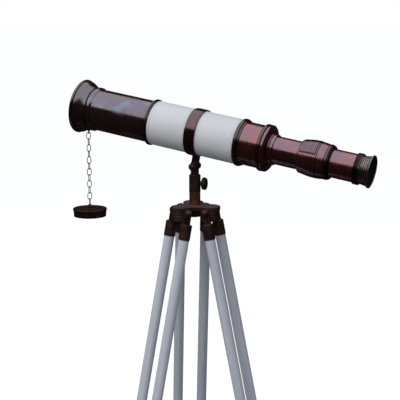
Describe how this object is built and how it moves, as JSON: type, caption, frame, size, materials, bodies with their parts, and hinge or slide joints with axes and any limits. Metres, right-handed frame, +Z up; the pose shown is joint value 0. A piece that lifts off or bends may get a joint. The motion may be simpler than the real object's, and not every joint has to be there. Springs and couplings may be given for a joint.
{
  "type": "floor-standing telescope on tripod",
  "caption": "Refracting telescope with a leather-wrapped bronze tube, sliding draw tubes and a chained lens cap, on a folding tripod of paired wooden rods.",
  "frame": {"origin": "on the floor, under the middle of the whole object's box", "axes": "+Z up; the optical axis lies in the XZ plane with the eyepiece towards +X; one leg points to +X"},
  "size_m": [0.7264, 0.5914, 1.6258],
  "materials": {
    "bronze": "polished antique bronze with a violet and copper patina",
    "dark_bronze": "satin dark brown bronze",
    "leather": "smooth white leather",
    "lens_glass": "clear",
    "knob_plastic": "satin",
    "painted_wood": "thin white paint with faint grey streaks"
  },
  "bodies": {
    "stand": {"hub": "dark_bronze", "column_tube": "dark_bronze", "clamp_collar": "dark_bronze", "leg_1_bolt": "dark_bronze", "leg_2_bolt": "dark_bronze", "leg_3_bolt": "dark_bronze"},
    "lock_knob": {"lock_knob": "knob_plastic"},
    "head": {"tilt_fork": "dark_bronze", "pivot_bolt": "dark_bronze", "pivot_nut_near": "dark_bronze", "pivot_nut_far": "dark_bronze"},
    "optical_tube": {"main_tube": "bronze", "objective_bell": "bronze", "hood_ring": "bronze", "objective_cell": "dark_bronze", "objective_lens": "lens_glass", "front_bead_ring": "bronze", "leather_sleeve": "leather", "clamp_band": "bronze", "rear_bead_ring": "bronze", "rear_flange": "bronze", "draw_guide_collar": "bronze", "chain_eye": "dark_bronze"},
    "draw_tube": {"draw_tube": "bronze", "relay_barrel": "bronze", "relay_barrel_ring": "dark_bronze", "relay_lens": "lens_glass"},
    "eyepiece": {"eyepiece_tube": "bronze", "eyepiece_ring": "dark_bronze", "eyecup": "bronze", "eyepiece_lens": "lens_glass"},
    "chain_upper": {"chain_upper": "dark_bronze"},
    "chain_lower": {"chain_lower": "dark_bronze"},
    "lens_cap": {"lens_cap": "dark_bronze", "cap_eyelet": "dark_bronze"},
    "leg_1": {"leg_1_ferrule_a": "dark_bronze", "leg_1_ferrule_b": "dark_bronze", "leg_1_rod_a": "painted_wood", "leg_1_rod_b": "painted_wood", "leg_1_bracket": "dark_bronze"},
    "leg_1_lower": {"leg_1_lower_rod": "painted_wood", "leg_1_foot": "dark_bronze"},
    "leg_1_lock_screw": {"leg_1_lock_screw": "dark_bronze"},
    "leg_2": {"leg_2_ferrule_a": "dark_bronze", "leg_2_ferrule_b": "dark_bronze", "leg_2_rod_a": "painted_wood", "leg_2_rod_b": "painted_wood", "leg_2_bracket": "dark_bronze"},
    "leg_2_lower": {"leg_2_lower_rod": "painted_wood", "leg_2_foot": "dark_bronze"},
    "leg_2_lock_screw": {"leg_2_lock_screw": "dark_bronze"},
    "leg_3": {"leg_3_ferrule_a": "dark_bronze", "leg_3_ferrule_b": "dark_bronze", "leg_3_rod_a": "painted_wood", "leg_3_rod_b": "painted_wood", "leg_3_bracket": "dark_bronze"},
    "leg_3_lower": {"leg_3_lower_rod": "painted_wood", "leg_3_foot": "dark_bronze"},
    "leg_3_lock_screw": {"leg_3_lock_screw": "dark_bronze"}
  },
  "joints": [
    {"name": "pan", "type": "hinge", "parent": "stand", "child": "head", "pos_m": [-0.05019, 0, 1.4], "axis": [0, 0, 1], "continuous": true},
    {"name": "lock_knob_turn", "type": "hinge", "parent": "stand", "child": "lock_knob", "pos_m": [-0.05019, 0, 1.402], "axis": [0.9848, 0.1736, 0], "range_deg": [0, 270]},
    {"name": "tilt", "type": "hinge", "parent": "head", "child": "optical_tube", "pos_m": [-0.05019, 0, 1.441], "axis": [0, 1, 0], "range_deg": [-35, 45]},
    {"name": "draw_tube_slide", "type": "slide", "parent": "optical_tube", "child": "draw_tube", "axis": [0.9877, 0, -0.1564], "range_m": [-0.054, 0.03]},
    {"name": "eyepiece_slide", "type": "slide", "parent": "draw_tube", "child": "eyepiece", "axis": [0.9877, 0, -0.1564], "range_m": [-0.036, 0.012]},
    {"name": "chain_swing", "type": "hinge", "parent": "optical_tube", "child": "chain_upper", "pos_m": [-0.32321, 0, 1.50344], "axis": [0, -1, 0], "range_deg": [-20, 20]},
    {"name": "chain_bend", "type": "hinge", "parent": "chain_upper", "child": "chain_lower", "pos_m": [-0.32321, 0, 1.4183], "axis": [0, -1, 0], "range_deg": [-15, 15]},
    {"name": "cap_swing", "type": "hinge", "parent": "chain_lower", "child": "lens_cap", "pos_m": [-0.32321, 0, 1.33315], "axis": [0, -1, 0], "range_deg": [-20, 20]},
    {"name": "leg_1_fold", "type": "hinge", "parent": "stand", "child": "leg_1", "pos_m": [-0.01219, 0, 1.3415], "axis": [0, 1, 0], "range_deg": [0, 11.5]},
    {"name": "leg_1_extend", "type": "slide", "parent": "leg_1", "child": "leg_1_lower", "axis": [-0.2045, 0, 0.9789], "range_m": [0, 0.42]},
    {"name": "leg_1_lock_screw_turn", "type": "hinge", "parent": "leg_1", "child": "leg_1_lock_screw", "pos_m": [0.13454, 0, 0.63916], "axis": [0.9789, 0, 0.2045], "range_deg": [0, 270]},
    {"name": "leg_2_fold", "type": "hinge", "parent": "stand", "child": "leg_2", "pos_m": [-0.06919, 0.03291, 1.3415], "axis": [-0.866, -0.5, 0], "range_deg": [0, 11.5]},
    {"name": "leg_2_extend", "type": "slide", "parent": "leg_2", "child": "leg_2_lower", "axis": [0.1022, -0.1771, 0.9789], "range_m": [0, 0.42]},
    {"name": "leg_2_lock_screw_turn", "type": "hinge", "parent": "leg_2", "child": "leg_2_lock_screw", "pos_m": [-0.14255, 0.15998, 0.63916], "axis": [-0.4894, 0.8477, 0.2045], "range_deg": [0, 270]},
    {"name": "leg_3_fold", "type": "hinge", "parent": "stand", "child": "leg_3", "pos_m": [-0.06919, -0.03291, 1.3415], "axis": [0.866, -0.5, 0], "range_deg": [0, 11.5]},
    {"name": "leg_3_extend", "type": "slide", "parent": "leg_3", "child": "leg_3_lower", "axis": [0.1022, 0.1771, 0.9789], "range_m": [0, 0.42]},
    {"name": "leg_3_lock_screw_turn", "type": "hinge", "parent": "leg_3", "child": "leg_3_lock_screw", "pos_m": [-0.14255, -0.15998, 0.63916], "axis": [-0.4894, -0.8477, 0.2045], "range_deg": [0, 270]}
  ]
}
